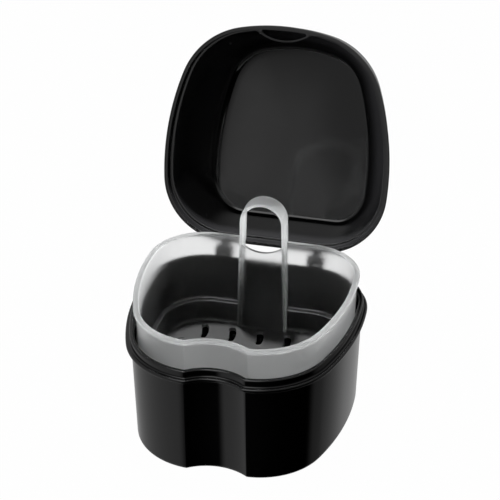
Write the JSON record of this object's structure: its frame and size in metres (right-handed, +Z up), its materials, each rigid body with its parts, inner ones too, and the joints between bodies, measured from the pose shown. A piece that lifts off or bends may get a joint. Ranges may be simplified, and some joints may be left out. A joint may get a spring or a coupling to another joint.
{
  "type": "denture case",
  "caption": "Hinged case with a deep domed lid, a notched front and a lift-out strainer basket with a loop handle, for soaking dentures or aligners.",
  "frame": {"origin": "centre of the cup's rest face: half-way between the flange's front cusps and its rear edge, on the centre plane", "axes": "+Z up out of the cup, -Y towards the notched front, +X to the right seen from the front; the hinge axis lies along X behind the cup"},
  "size_m": [0.092, 0.146, 0.1361],
  "materials": {
    "cup_plastic": "polished black moulded plastic",
    "lid_plastic": "black moulded plastic, satin inside",
    "basket_plastic": "translucent frosted plastic"
  },
  "bodies": {
    "cup": {"cup": "cup_plastic"},
    "lid": {"lid": "lid_plastic"},
    "strainer_basket": {"strainer_basket": "basket_plastic"}
  },
  "joints": [
    {"name": "lid_hinge", "type": "hinge", "parent": "cup", "child": "lid", "pos_m": [0, 0.0484, 0.0447], "axis": [1, 0, 0], "range_deg": [0, 104.5]},
    {"name": "basket_lift", "type": "slide", "parent": "cup", "child": "strainer_basket", "axis": [0, 0, 1], "range_m": [0, 0.075]}
  ]
}
